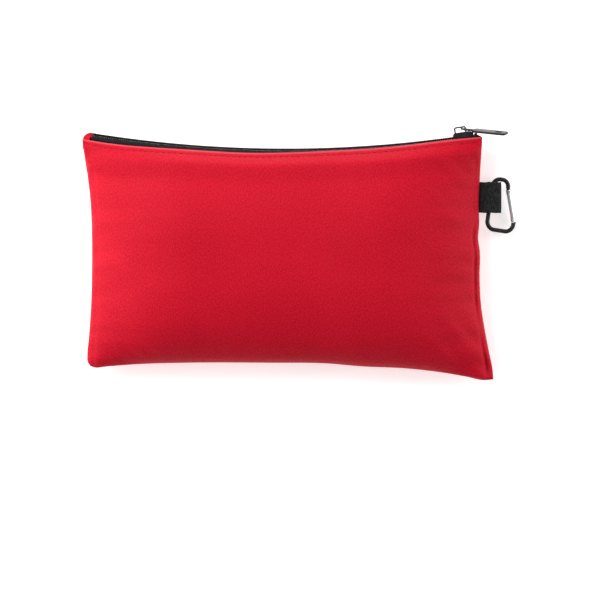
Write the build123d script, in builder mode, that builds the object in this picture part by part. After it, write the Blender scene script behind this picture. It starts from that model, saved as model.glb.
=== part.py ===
from build123d import *
import os
from math import asin, cos, degrees, radians, sin, sqrt

# First aid kit: a flat zipped pouch that lies on its back panel, with a carabiner in a webbing loop.
# Millimetres. X runs along the zip, Y points from the bottom fold to the zip, Z up from the surface
# that the pouch lies on. The origin is on the flat of the back panel.

# ---- pouch ----
RIM_Z = 12.0  # height of the zip's middle, the side seams and the bottom fold
BACK_DEPTH = 12.0  # from the rim down to the flat of the back panel
FRONT_DEPTH = 26.0  # from the rim up to the top of the front panel
BACK_DRAW_IN = 22.0  # how far the flat of the back lies inside the outline
FRONT_DRAW_IN = 50.0  # how far the flat of the front lies inside the outline
WALL = 0.8  # thickness of the cloth with its lining
LEFT_TOP_X = -121.5
LEFT_MIDDLE_X = -116.4
LEFT_BOTTOM = (-119.0, -66.0)
BOTTOM_MIDDLE_Y = -62.4
RIGHT_BOTTOM = (124.5, -73.2)
RIGHT_MIDDLE_X = 115.2
RIGHT_TOP_X = 117.0
SIDE_MIDDLE_Y = 3.0
SECTION_ANGLES = (0, 18, 36, 54, 72, 90)  # where the pillow's sections are taken, from rim to flat
FOLD_Y = -61.4  # the bottom fold, which the front panel opens about
FOLD_RADIUS = 5.4
FOLD_GAP = 0.6
FOLD_LEAN = 18.0  # degrees left free at the corners for the front panel to turn into

# ---- zip, a coil zip on an arc whose centre is far above the pouch ----
ZIP_RADIUS = 730.0  # to the outer face of the coil
ZIP_FACE_Y = 66.6  # outer face of the coil at the middle of the zip
ZIP_CENTRE_Y = ZIP_FACE_Y + ZIP_RADIUS
ZIP_AXIS = Axis((0, ZIP_CENTRE_Y, 0), (0, 0, 1))
TOP_Y = 66.0  # the pouch's outline at the middle of the zip, before the slot is cut
COIL_DEPTH = 2.0
COIL_INNER = 0.65  # from the zip's middle to the near side of a coil half
COIL_OUTER = 3.0
TAPE_THICK = 0.6
TAPE_FLAT = 4.6  # half width of the flat of the tape, up to its bend under the panel
TAPE_CLEAR = 0.8  # between the tape and the inside of the panel
BACK_LEG_X = (-98.0, 93.0)  # the tape's legs end short of the side seams, where the panels draw in
FRONT_LEG_X = (-113.5, 109.5)
TAPE_LEG = 10.0  # how far the tape reaches above or below the rim, inside the panel
SLOT_HALF = 5.6
SLOT_LEFT_X = -124.0
SLOT_RIGHT_X = 121.0
ZIP_LEFT_X = -117.0
ZIP_RIGHT_X = 112.6
TAPE_RIGHT_X = 116.0
MOUTH_LEFT_X = -102.5  # the stretch of the front half that opens
MOUTH_RIGHT_X = 99.5
END_GAP = 0.4

# ---- slider and pull ----
SLIDER_X = 106.2
SLIDER_LONG = 12.0
SLIDER_WIDE = 8.6
PLATE = 1.5
PLATE_GAP = 0.1
UNDER_PLATE = 1.2
FLANGE = 1.2
BRIDGE_FROM = -4.9
BRIDGE_TO = 2.4
BRIDGE_TOP = 5.3
BRIDGE_WALL = 0.9
BRIDGE_WIDE = 1.1
PULL_PIVOT = (0.6, 3.4)  # along the zip and out from the coil's face, on the slider
PULL_DROOP = 17.0  # degrees below the slider's top plate
PULL_LEAN = 34.0  # degrees towards the front panel, whose edge the tab lies over
PULL_LONG = 30.0
PULL_WIDE = 5.6
PULL_THICK = 1.3
PULL_BAR = 0.5  # radius
PULL_RING = 6.4  # from the pivot to the end of the ring's opening
PULL_TWIST = 22.0

# ---- webbing loop in the right side seam ----
LOOP_Y = 37.0
LOOP_WIDE = 18.8
LOOP_THICK = 1.2
LOOP_END_X = 129.6
LOOP_TAIL_X = 113.4
LOOP_TAIL_Z = (9.2, 11.6)
LOOP_EYE_Z = 8.5
LOOP_EYE_RADIUS = 4.6

# ---- carabiner, lying in the loop with its gate side on the ground ----
CLIP_FOOT = (121.4, 24.9, 8.3)
CLIP_LEAN = 8.0  # degrees, spine against Y
CLIP_TILT = 19.0  # degrees, gate side down
WIRE_RADIUS = 1.3
GATE_RADIUS = 1.4
CLIP_TOP = 24.0
CLIP_BOTTOM = -6.6
CLIP_BEND = 5.0
CLIP_HINGE_END = (10.3, 19.4)
CLIP_NOSE_END = (17.0, -0.6)
GATE_GAP = 1.1
NOSE_GAP = 0.5
TONGUE_THICK = 1.0
TONGUE_SLOT = 1.2
PIN_RADIUS = 0.5
LATCH_RADIUS = 0.45
SPRING_RADIUS = 0.55

# ---- contents ----
FLOOR_Z = 1.2
PACK_GAP = 0.3


def top_y(x, inset=0.0):
    """Y of the pouch's top outline at x, drawn in by inset."""
    radius = ZIP_CENTRE_Y - TOP_Y
    return ZIP_CENTRE_Y - inset - sqrt(radius**2 - x**2)


def corners(inset):
    """The outline's four corners, drawn in by inset: left top, left bottom, right bottom, right top."""
    left = LEFT_TOP_X + inset
    right = RIGHT_TOP_X - inset
    return (
        (left, top_y(left, inset)),
        (LEFT_BOTTOM[0] + inset, LEFT_BOTTOM[1] + inset),
        (RIGHT_BOTTOM[0] - inset, RIGHT_BOTTOM[1] + inset),
        (right, top_y(right, inset)),
    )


def outline(inset, height):
    """The pouch's outline at one height, drawn in by inset: four arcs that meet at the corners."""
    left_top, left_bottom, right_bottom, right_top = corners(inset)
    with BuildSketch(Plane.XY.offset(height)) as section:
        with BuildLine():
            ThreePointArc(left_top, (LEFT_MIDDLE_X + inset, SIDE_MIDDLE_Y), left_bottom)
            ThreePointArc(left_bottom, (0, BOTTOM_MIDDLE_Y + inset), right_bottom)
            ThreePointArc(right_bottom, (RIGHT_MIDDLE_X - inset, SIDE_MIDDLE_Y), right_top)
            ThreePointArc(right_top, (0, TOP_Y - inset), left_top)
        make_face()
    return section.sketch


def pillow_half(depth, draw_in, way):
    """One half of the pillow as a shell, from the rim to its flat. way is 1 for up, -1 for down."""
    outer = []
    inner = []
    for angle in SECTION_ANGLES:
        inset = draw_in * (1 - cos(radians(angle)))
        rise = sin(radians(angle))
        outer.append(outline(inset, RIM_Z + way * depth * rise))
        inner.append(outline(inset + WALL, RIM_Z + way * (depth - WALL) * rise))
    with BuildPart() as half:
        loft(sections=outer)
        loft(sections=inner, mode=Mode.SUBTRACT)
    return half.part


def fold_tool(radius, edge_y, lean):
    """All that lies at the bottom fold: a round bar along it, and everything below a plane that leans in."""
    with BuildPart() as tool:
        with BuildSketch(Plane.YZ):
            with Locations((FOLD_Y, RIM_Z)):
                Circle(radius)
            with Locations((edge_y, RIM_Z)):
                Rectangle(40, 80, rotation=-lean, align=(Align.MAX, Align.CENTER))
        extrude(amount=150, both=True)
    return tool.part


def zip_plane(x):
    """The plane across the zip where it passes x: local x is the distance from the arc's centre."""
    angle = asin(x / ZIP_RADIUS)
    outwards = (sin(angle), -cos(angle), 0)
    return Plane(origin=(0, ZIP_CENTRE_Y, 0), x_dir=outwards, z_dir=(-cos(angle), -sin(angle), 0))


def along_zip(points, x_from, x_to):
    """A strip of one section that follows the zip. Points are (depth behind the coil's face, height)."""
    with BuildPart() as strip:
        with BuildSketch(zip_plane(x_from)):
            with BuildLine():
                Polyline(*[(ZIP_RADIUS + depth, RIM_Z + height) for depth, height in points], close=True)
            make_face()
        revolve(axis=ZIP_AXIS, revolution_arc=degrees(asin(x_to / ZIP_RADIUS) - asin(x_from / ZIP_RADIUS)))
    return strip.part


def block(depth_from, depth_to, height_from, height_to):
    """A rectangular section for along_zip."""
    return (
        (depth_from, height_from),
        (depth_to, height_from),
        (depth_to, height_to),
        (depth_from, height_to),
    )


def wall_inset(height, depth, draw_in):
    """How far the inside of the panel has drawn in at a height above or below the rim."""
    share = abs(height) / (depth - WALL)
    return WALL + draw_in * (1 - sqrt(1 - share**2))


def tape_flat(way):
    """The flat of half of the zip tape, behind the coil."""
    return block(COIL_DEPTH, COIL_DEPTH + TAPE_THICK, way * COIL_INNER, way * TAPE_FLAT)


def tape_leg(way, depth, draw_in):
    """The rest of that half, which bends to run inside the panel."""
    top_to_face = ZIP_FACE_Y - TOP_Y
    reach = min(TAPE_LEG, 0.7 * depth)
    bend = top_to_face + wall_inset(SLOT_HALF + 1.0, depth, draw_in) + TAPE_CLEAR
    end = top_to_face + wall_inset(reach, depth, draw_in) + TAPE_CLEAR
    line = (
        (COIL_DEPTH, TAPE_FLAT),
        (bend, SLOT_HALF + 0.9),
        (end, reach),
        (end + TAPE_THICK, reach),
        (bend + TAPE_THICK, SLOT_HALF + 0.5),
        (COIL_DEPTH + TAPE_THICK, TAPE_FLAT),
    )
    return [(d, way * h) for d, h in line]


def finish(part, name):
    """Label a finished piece and write it."""
    part.label = name
    export_step(part, f"parts/{name}.step")


BACK_TAPE = tape_flat(-1)
BACK_LEG = tape_leg(-1, BACK_DEPTH, BACK_DRAW_IN)
FRONT_TAPE = tape_flat(1)
FRONT_LEG = tape_leg(1, FRONT_DEPTH, FRONT_DRAW_IN)
BACK_COIL = block(0, COIL_DEPTH, -COIL_OUTER, -COIL_INNER)
FRONT_COIL = block(0, COIL_DEPTH, COIL_INNER, COIL_OUTER)

back_half = pillow_half(BACK_DEPTH, BACK_DRAW_IN, -1)
front_half = pillow_half(FRONT_DEPTH, FRONT_DRAW_IN, 1)
zip_slot = along_zip(block(-12, 7.5, -SLOT_HALF, SLOT_HALF), SLOT_LEFT_X, SLOT_RIGHT_X)

# ---- back panel: the back half, and the cloth that turns over the bottom fold ----
with BuildPart() as back_panel:
    add(front_half)
    add(fold_tool(FOLD_RADIUS, FOLD_Y, 0), mode=Mode.INTERSECT)
    add(back_half)
    add(zip_slot, mode=Mode.SUBTRACT)
    with BuildSketch(Plane.XZ.offset(-LOOP_Y)):
        with Locations((RIGHT_MIDDLE_X, (LOOP_TAIL_Z[0] + LOOP_TAIL_Z[1]) / 2)):
            Rectangle(8, LOOP_TAIL_Z[1] - LOOP_TAIL_Z[0])
    extrude(amount=LOOP_WIDE / 2, both=True, mode=Mode.SUBTRACT)
finish(back_panel.part, "back_panel")

# ---- front panel: the front half above the bottom fold ----
with BuildPart() as front_panel:
    add(front_half)
    add(fold_tool(FOLD_RADIUS + FOLD_GAP, FOLD_Y + FOLD_GAP, FOLD_LEAN), mode=Mode.SUBTRACT)
    add(zip_slot, mode=Mode.SUBTRACT)
finish(front_panel.part, "front_panel")

# ---- seam bindings inside the two side seams ----
BINDING_FROM_Z = RIM_Z - 4.0
BINDING_HIGH = 3.5
BINDING_INSET = 3.1
BINDING_THICK = 1.0
BINDING_TOP_Y = 52.0
BINDING_BOTTOM_Y = -50.0
SIDE_BOW = 0.3
for name, middle_x, way in (
    ("seam_binding_left", LEFT_MIDDLE_X, 1),
    ("seam_binding_right", RIGHT_MIDDLE_X, -1),
):
    with BuildPart() as binding:
        with BuildSketch(Plane.XY.offset(BINDING_FROM_Z)):
            near = middle_x + way * BINDING_INSET
            far = near + way * BINDING_THICK
            with BuildLine():
                near_end = near - way * SIDE_BOW
                near_arc = ThreePointArc(
                    (near_end, BINDING_TOP_Y), (near, SIDE_MIDDLE_Y), (near_end, BINDING_BOTTOM_Y)
                )
                far_end = far - way * SIDE_BOW
                far_arc = ThreePointArc(
                    (far_end, BINDING_TOP_Y), (far, SIDE_MIDDLE_Y), (far_end, BINDING_BOTTOM_Y)
                )
                Line(near_arc @ 0, far_arc @ 0)
                Line(near_arc @ 1, far_arc @ 1)
            make_face()
        extrude(amount=BINDING_HIGH)
    finish(binding.part, name)

# ---- zip ----
with BuildPart() as zip_tape_back:
    add(along_zip(BACK_TAPE, ZIP_LEFT_X, TAPE_RIGHT_X))
    add(along_zip(BACK_LEG, *BACK_LEG_X))
finish(zip_tape_back.part, "zip_tape_back")

with BuildPart() as zip_coil_back:
    add(along_zip(BACK_COIL, ZIP_LEFT_X, ZIP_RIGHT_X))
finish(zip_coil_back.part, "zip_coil_back")

with BuildPart() as zip_tape_front:
    add(along_zip(FRONT_TAPE, MOUTH_LEFT_X, MOUTH_RIGHT_X))
    add(along_zip(FRONT_LEG, MOUTH_LEFT_X, MOUTH_RIGHT_X))
finish(zip_tape_front.part, "zip_tape_front")

with BuildPart() as zip_coil_front:
    add(along_zip(FRONT_COIL, MOUTH_LEFT_X, MOUTH_RIGHT_X))
finish(zip_coil_front.part, "zip_coil_front")

with BuildPart() as zip_tape_ends:
    add(along_zip(FRONT_TAPE, ZIP_LEFT_X, MOUTH_LEFT_X - END_GAP))
    add(along_zip(FRONT_LEG, FRONT_LEG_X[0], MOUTH_LEFT_X - END_GAP))
    add(along_zip(FRONT_TAPE, MOUTH_RIGHT_X + END_GAP, TAPE_RIGHT_X))
    add(along_zip(FRONT_LEG, MOUTH_RIGHT_X + END_GAP, FRONT_LEG_X[1]))
finish(zip_tape_ends.part, "zip_tape_ends")

with BuildPart() as zip_coil_ends:
    add(along_zip(FRONT_COIL, ZIP_LEFT_X, MOUTH_LEFT_X - END_GAP))
    add(along_zip(FRONT_COIL, MOUTH_RIGHT_X + END_GAP, ZIP_RIGHT_X))
finish(zip_coil_ends.part, "zip_coil_ends")

with BuildPart() as zip_stop:
    stop_section = block(0.1, COIL_DEPTH - 0.1, -COIL_OUTER - 0.4, COIL_OUTER + 0.4)
    add(along_zip(stop_section, ZIP_RIGHT_X + 0.3, ZIP_RIGHT_X + 1.8))
finish(zip_stop.part, "zip_stop")

with BuildPart() as zip_end_tab_left:
    add(along_zip(block(-1.0, -0.1, -5.2, 5.2), -120.6, -115.4))
    add(along_zip(block(-1.0, 4.0, -5.2, 5.2), -120.6, -118.3))
finish(zip_end_tab_left.part, "zip_end_tab_left")

with BuildPart() as zip_end_tab_right:
    add(along_zip(block(1.1, 6.6, -5.2, 5.2), TAPE_RIGHT_X + 0.2, TAPE_RIGHT_X + 1.2))
finish(zip_end_tab_right.part, "zip_end_tab_right")

# ---- slider: local x runs along the zip, local z points out of the coil's face ----
slider_angle = asin(SLIDER_X / ZIP_RADIUS)
SLIDER = Plane(
    origin=(ZIP_RADIUS * sin(slider_angle), ZIP_CENTRE_Y - ZIP_RADIUS * cos(slider_angle), RIM_Z),
    x_dir=(cos(slider_angle), sin(slider_angle), 0),
    z_dir=(-sin(slider_angle), cos(slider_angle), 0),
)
# The slider's side view is drawn on a plane whose y is the slider's z.
SLIDER_SIDE = Plane(origin=SLIDER.origin, x_dir=SLIDER.x_dir, z_dir=-SLIDER.y_dir)
plate_top = PLATE_GAP + PLATE
under_top = -COIL_DEPTH - TAPE_THICK - PLATE_GAP

with BuildPart() as slider_body:
    with BuildSketch(SLIDER_SIDE):
        with BuildLine():
            Polyline(
                (-SLIDER_LONG / 2, PLATE_GAP),
                (SLIDER_LONG / 2, PLATE_GAP),
                (SLIDER_LONG / 2, PLATE_GAP + 0.6),
                (SLIDER_LONG / 2 - 2.6, plate_top),
                (-SLIDER_LONG / 2 + 0.9, plate_top),
                (-SLIDER_LONG / 2, PLATE_GAP + 0.8),
                close=True,
            )
        make_face()
        with Locations((0, under_top - UNDER_PLATE / 2)):
            Rectangle(SLIDER_LONG, UNDER_PLATE)
    extrude(amount=SLIDER_WIDE / 2, both=True)
    with BuildSketch(SLIDER_SIDE.offset(-SLIDER_WIDE / 2), SLIDER_SIDE.offset(SLIDER_WIDE / 2 - FLANGE)):
        with Locations((0, PLATE_GAP / 2 - 0.9)):
            Rectangle(SLIDER_LONG, 1.8 + PLATE_GAP)
    extrude(amount=FLANGE)
    with BuildSketch(SLIDER_SIDE):
        with Locations((SLIDER_LONG / 2 - 1.4, (PLATE_GAP + under_top) / 2)):
            Rectangle(2.4, PLATE_GAP - under_top)
    extrude(amount=0.5, both=True)
finish(slider_body.part, "slider_body")

with BuildPart() as slider_bridge:
    with BuildSketch(SLIDER_SIDE):
        with Locations(((BRIDGE_FROM + BRIDGE_TO) / 2, (plate_top + BRIDGE_TOP) / 2)):
            RectangleRounded(BRIDGE_TO - BRIDGE_FROM, BRIDGE_TOP - plate_top, 1.2)
        with Locations(((BRIDGE_FROM + BRIDGE_TO) / 2, plate_top)):
            Rectangle(BRIDGE_TO - BRIDGE_FROM, 1.6, align=(Align.CENTER, Align.MIN))
        with Locations(((BRIDGE_FROM + BRIDGE_TO) / 2, plate_top)):
            Rectangle(
                BRIDGE_TO - BRIDGE_FROM - 2 * BRIDGE_WALL,
                BRIDGE_TOP - plate_top - BRIDGE_WALL,
                align=(Align.CENTER, Align.MIN),
                mode=Mode.SUBTRACT,
            )
    extrude(amount=BRIDGE_WIDE / 2, both=True)
finish(slider_bridge.part, "slider_bridge")

# ---- pull tab: local x runs along the tab from its bar, local y across the slider ----
pull_angle = slider_angle - radians(PULL_DROOP)
pull_origin = SLIDER.from_local_coords(Vector(PULL_PIVOT[0], 0, PULL_PIVOT[1]))
pull_lean = radians(PULL_LEAN)
PULL = Plane(
    origin=pull_origin,
    x_dir=(cos(pull_angle) * cos(pull_lean), sin(pull_angle) * cos(pull_lean), sin(pull_lean)),
    z_dir=(-sin(pull_angle), cos(pull_angle), 0),
)
PULL_BLADE = Plane(
    origin=pull_origin,
    x_dir=PULL.x_dir,
    z_dir=PULL.z_dir.rotate(Axis((0, 0, 0), PULL.x_dir), PULL_TWIST),
)
with BuildPart() as pull_tab:
    with BuildSketch(PULL.offset(-PULL_BAR)):
        with Locations((PULL_RING / 2 + 0.4, 0)):
            RectangleRounded(PULL_RING + 2.2, PULL_WIDE, 1.2)
        with Locations((PULL_RING / 2 + 0.45, 0)):
            Rectangle(PULL_RING - 0.1, PULL_WIDE - 1.8, mode=Mode.SUBTRACT)
    extrude(amount=2 * PULL_BAR)
    with BuildSketch(PULL_BLADE.offset(-PULL_THICK / 2)):
        with Locations(((PULL_RING + 0.6 + PULL_LONG) / 2, 0)):
            RectangleRounded(PULL_LONG - PULL_RING - 0.6, PULL_WIDE, 1.4)
        with Locations((PULL_LONG - 5.2, 0)):
            Rectangle(4.6, 2.4, mode=Mode.SUBTRACT)
    extrude(amount=PULL_THICK)
finish(pull_tab.part, "pull_tab")

# ---- webbing loop: two layers sewn into the seam that part round an eye ----
eye_right = LOOP_END_X - LOOP_EYE_RADIUS
eye_left = eye_right - 4.4
with BuildPart() as webbing_loop:
    with BuildSketch(Plane.XZ.offset(-LOOP_Y)):
        with BuildLine():
            Polyline(
                (LOOP_TAIL_X, LOOP_TAIL_Z[0]),
                (LOOP_TAIL_X, LOOP_TAIL_Z[1]),
                (RIGHT_MIDDLE_X + 1.4, LOOP_TAIL_Z[1]),
                (eye_left, LOOP_EYE_Z + LOOP_EYE_RADIUS),
                (eye_left, LOOP_EYE_Z - LOOP_EYE_RADIUS),
                (RIGHT_MIDDLE_X + 1.4, LOOP_TAIL_Z[0]),
                close=True,
            )
        make_face()
        with Locations(((eye_left + eye_right) / 2, LOOP_EYE_Z)):
            SlotCenterToCenter(eye_right - eye_left, 2 * LOOP_EYE_RADIUS)
        with Locations(((eye_left + eye_right) / 2, LOOP_EYE_Z)):
            SlotCenterToCenter(eye_right - eye_left, 2 * (LOOP_EYE_RADIUS - LOOP_THICK), mode=Mode.SUBTRACT)
    extrude(amount=LOOP_WIDE / 2, both=True)
finish(webbing_loop.part, "webbing_loop")

# ---- carabiner: local x runs from the spine to the gate, local y along the spine ----
lean = radians(CLIP_LEAN)
tilt = radians(CLIP_TILT)
spine_way = Vector(sin(lean), cos(lean), 0)
gate_way = Vector(cos(tilt) * cos(lean), -cos(tilt) * sin(lean), -sin(tilt))
CLIP = Plane(origin=CLIP_FOOT, x_dir=gate_way, z_dir=gate_way.cross(spine_way))
hinge_end = Vector(*CLIP_HINGE_END)
nose_end = Vector(*CLIP_NOSE_END)
gate_line = (nose_end - hinge_end).normalized()
gate_from = hinge_end + gate_line * GATE_GAP
gate_to = nose_end - gate_line * NOSE_GAP
gate_length = (gate_to - gate_from).length
# Planes with their x along the gate, in the middle of the wire.
GATE = Plane(
    origin=CLIP.from_local_coords(gate_from),
    x_dir=CLIP.from_local_coords(gate_to) - CLIP.from_local_coords(gate_from),
    z_dir=CLIP.z_dir,
)
GATE_END = Plane(origin=GATE.origin, x_dir=GATE.z_dir, z_dir=GATE.x_dir)
pin_along = 1.1
latch_along = gate_length - 1.3

with BuildPart() as carabiner_body:
    with BuildLine(CLIP):
        wire = FilletPolyline(
            CLIP_HINGE_END,
            (CLIP_HINGE_END[0], CLIP_TOP),
            (0, CLIP_TOP),
            (0, CLIP_BOTTOM),
            (CLIP_NOSE_END[0] + 0.3, CLIP_BOTTOM),
            CLIP_NOSE_END,
            radius=[CLIP_BEND - 0.9, CLIP_BEND, CLIP_BEND, CLIP_BEND],
        )
    with BuildSketch(Plane(origin=wire @ 0, z_dir=wire % 0)):
        Circle(WIRE_RADIUS)
    sweep()
    with BuildSketch(GATE.offset(-TONGUE_THICK / 2)):
        with Locations((-GATE_GAP - 0.6, 0)):
            Rectangle(GATE_GAP + pin_along + 1.5, 2.0, align=(Align.MIN, Align.CENTER))
        with Locations((gate_length - 1.8, 0.6)):
            Rectangle(NOSE_GAP + 2.6, 0.65, align=(Align.MIN, Align.MIN))
        with Locations((pin_along, 0)):
            Circle(PIN_RADIUS + 0.05, mode=Mode.SUBTRACT)
    extrude(amount=TONGUE_THICK)
finish(carabiner_body.part, "carabiner_body")

with BuildPart() as carabiner_gate:
    with BuildSketch(GATE_END):
        Circle(GATE_RADIUS)
    extrude(amount=gate_length)
    with BuildSketch(GATE.offset(-TONGUE_SLOT / 2)):
        with Locations((-0.1, 0)):
            Rectangle(2.7, 4, align=(Align.MIN, Align.CENTER))
        with Locations((gate_length + 0.1, 0)):
            Rectangle(2.3, 4, align=(Align.MAX, Align.CENTER))
    extrude(amount=TONGUE_SLOT, mode=Mode.SUBTRACT)
    with BuildSketch(GATE_END):
        Circle(SPRING_RADIUS + 0.1)
    extrude(amount=9.6, mode=Mode.SUBTRACT)
    with BuildSketch(GATE.offset(-2)):
        with Locations((pin_along, 0)):
            Circle(PIN_RADIUS)
        with Locations((latch_along, 0)):
            Circle(LATCH_RADIUS)
    extrude(amount=4, mode=Mode.SUBTRACT)
finish(carabiner_gate.part, "carabiner_gate")

with BuildPart() as gate_hinge_pin:
    with BuildSketch(GATE.offset(-1.3)):
        with Locations((pin_along, 0)):
            Circle(PIN_RADIUS)
    extrude(amount=2.6)
finish(gate_hinge_pin.part, "gate_hinge_pin")

with BuildPart() as gate_latch_pin:
    with BuildSketch(GATE.offset(-1.3)):
        with Locations((latch_along, 0)):
            Circle(LATCH_RADIUS)
    extrude(amount=2.6)
finish(gate_latch_pin.part, "gate_latch_pin")

with BuildPart() as gate_spring:
    with BuildSketch(GATE_END.offset(2.8)):
        Circle(SPRING_RADIUS)
    extrude(amount=6.6)
finish(gate_spring.part, "gate_spring")


# ---- contents, stacked on the back panel ----
def pack(middle, size, radius=4.0):
    """A flat pack with rounded corners and soft edges. middle is (x, y, lowest z)."""
    with BuildPart() as made:
        with BuildSketch(Plane.XY.offset(middle[2])):
            with Locations((middle[0], middle[1])):
                RectangleRounded(size[0], size[1], radius)
        extrude(amount=size[2])
        levels = made.edges().group_by(Axis.Z)
        fillet(levels[0] + levels[-1], min(size[2], radius) * 0.3)
    return made.part


BLANKET = (70.0, 78.0, 9.0)
BANDAGE = (56.0, 70.0, 11.0)
GLOVES = (48.0, 70.0, 8.0)
blanket_top = FLOOR_Z + BLANKET[2] + PACK_GAP
bandage_top = FLOOR_Z + BANDAGE[2] + PACK_GAP
gloves_top = FLOOR_Z + GLOVES[2] + PACK_GAP

with BuildPart() as rescue_blanket:
    add(pack((-58, -4, FLOOR_Z), BLANKET))
finish(rescue_blanket.part, "rescue_blanket")

with BuildPart() as triangular_bandage:
    add(pack((10, -7, FLOOR_Z), BANDAGE))
finish(triangular_bandage.part, "triangular_bandage")

with BuildPart() as gloves_pack:
    add(pack((67, -7, FLOOR_Z), GLOVES))
finish(gloves_pack.part, "gloves_pack")

SACHET = (58.0, 58.0, 1.5)
with BuildPart() as gauze_sachets:
    for number in range(3):
        add(pack((-60 + number, -6 + number, blanket_top + number * (SACHET[2] + 0.1)), SACHET, 1.5))
finish(gauze_sachets.part, "gauze_sachets")
sachets_top = blanket_top + 3 * (SACHET[2] + 0.1) + PACK_GAP

PLASTER = (72.0, 19.0, 1.0)
with BuildPart() as adhesive_bandages:
    for number in range(3):
        add(pack((-58, -28 + 22 * number, sachets_top), PLASTER, 1.5))
        add(pack((-57, -27.5 + 22 * number, sachets_top + PLASTER[2] + 0.1), PLASTER, 1.5))
finish(adhesive_bandages.part, "adhesive_bandages")
plasters_top = sachets_top + 2 * (PLASTER[2] + 0.1) + PACK_GAP

with BuildPart() as first_aid_leaflet:
    add(pack((-58, -5, plasters_top), (74, 52, 0.8), 1.0))
finish(first_aid_leaflet.part, "first_aid_leaflet")
leaflet_top = plasters_top + 0.8

ROLL_RADIUS = 8.6
ROLL_LONG = 50.0
with BuildPart() as gauze_roll:
    with BuildSketch(Plane.XZ.offset(-ROLL_LONG / 2)):
        with Locations((-5, bandage_top + ROLL_RADIUS)):
            Circle(ROLL_RADIUS)
        with Locations((-5, bandage_top)):
            Rectangle(ROLL_RADIUS + 4, 0.8, align=(Align.MIN, Align.MIN))
    extrude(amount=ROLL_LONG)
finish(gauze_roll.part, "gauze_roll")

WIPE = (26.0, 34.0, 1.8)
with BuildPart() as antiseptic_wipes:
    for number in range(3):
        add(pack((24, -24 + 0.5 * number, bandage_top + number * (WIPE[2] + 0.1)), WIPE, 1.5))
finish(antiseptic_wipes.part, "antiseptic_wipes")

TAPE_ROLL = (18.0, 12.6, 12.5)  # outer radius, inner radius, width
TAPE_CORE_WALL = 1.6
TAPE_AT = (68.0, -14.5)
with BuildPart() as tape_roll:
    with BuildSketch(Plane.XY.offset(gloves_top)):
        with Locations(TAPE_AT):
            Circle(TAPE_ROLL[0])
            Circle(TAPE_ROLL[1], mode=Mode.SUBTRACT)
    extrude(amount=TAPE_ROLL[2])
finish(tape_roll.part, "tape_roll")

with BuildPart() as tape_core:
    with BuildSketch(Plane.XY.offset(gloves_top)):
        with Locations(TAPE_AT):
            Circle(TAPE_ROLL[1])
            Circle(TAPE_ROLL[1] - TAPE_CORE_WALL, mode=Mode.SUBTRACT)
    extrude(amount=TAPE_ROLL[2])
finish(tape_core.part, "tape_core")

# The ointment tube is round at its shoulder and flat at its crimp.
TUBE_LONG = 40.0
TUBE_RADIUS = 6.5
tube_z = gloves_top + TUBE_RADIUS
TUBE_END = Plane(origin=(52, 17, tube_z), x_dir=(0, 1, 0), z_dir=(1, 0, 0))
with BuildPart() as ointment_tube:
    with BuildSketch(TUBE_END):
        Circle(TUBE_RADIUS)
    with BuildSketch(TUBE_END.offset(TUBE_LONG * 0.5)):
        Ellipse(TUBE_RADIUS + 0.8, TUBE_RADIUS * 0.72)
    with BuildSketch(TUBE_END.offset(TUBE_LONG)):
        Ellipse(TUBE_RADIUS + 2.6, 0.7)
    loft()
    with BuildSketch(TUBE_END):
        Circle(3.2)
    extrude(amount=-3)
finish(ointment_tube.part, "ointment_tube")

with BuildPart() as ointment_cap:
    with BuildSketch(TUBE_END.offset(-0.2)):
        Circle(5.4)
    extrude(amount=-11)
    with BuildSketch(TUBE_END.offset(-0.2)):
        Circle(3.2)
    extrude(amount=-2.8, mode=Mode.SUBTRACT)
    chamfer(ointment_cap.edges().group_by(Axis.X)[0], 0.8)
finish(ointment_cap.part, "ointment_cap")

# Tweezers: two sprung arms that meet at one end, standing on edge.
TWEEZER_LONG = 56.0
with BuildPart() as tweezers:
    with BuildSketch(Plane.XY.offset(gloves_top)):
        with Locations((40 + TWEEZER_LONG / 2, -37.4)):
            Rectangle(TWEEZER_LONG, 7.4)
        with BuildLine():
            tips = 40 + TWEEZER_LONG + 1
            Polyline((44, -37.9), (tips, -39.9), (tips, -34.9), (44, -36.9), close=True)
        make_face(mode=Mode.SUBTRACT)
    extrude(amount=6)
finish(tweezers.part, "tweezers")

# Safety pins: closed wire loops.
with BuildPart() as safety_pins:
    for number in range(2):
        with BuildSketch(Plane.XY.offset(bandage_top)):
            with Locations((23, 2 + 11 * number)):
                SlotCenterToCenter(20, 7)
                SlotCenterToCenter(20, 5, mode=Mode.SUBTRACT)
        extrude(amount=1.0)
finish(safety_pins.part, "safety_pins")

# ---- scissors: two blades on a rivet, each with a moulded handle ring ----
SCISSORS_AT = (-58.0, -6.0)
BLADE = 1.2
HANDLE = 3.0
blade_a_z = leaflet_top + 1.2
blade_b_z = blade_a_z + BLADE + 0.1
RING_AT = (-35.0, 10.5)
RING_RADIUS = 9.5
RING_WALL = 2.4


BLADE_OUTLINE = ((36, 0.6), (30, -1.8), (4, -3.6), (-5, -3.2), (-24, 4.4), (-24, 9.0), (-6, 2.4), (4, 2.0))


def scissors_blade(height, way):
    """One blade with its tang. way is 1 where the handle lies on the +Y side."""
    with BuildPart() as made:
        with BuildSketch(Plane.XY.offset(height)):
            with BuildLine():
                Polyline(
                    *[(SCISSORS_AT[0] + x, SCISSORS_AT[1] + way * y) for x, y in BLADE_OUTLINE],
                    close=True,
                )
            make_face()
            with Locations(SCISSORS_AT):
                Circle(1.5 if way < 0 else 1.56, mode=Mode.SUBTRACT)
        extrude(amount=BLADE)
    return made.part


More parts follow.
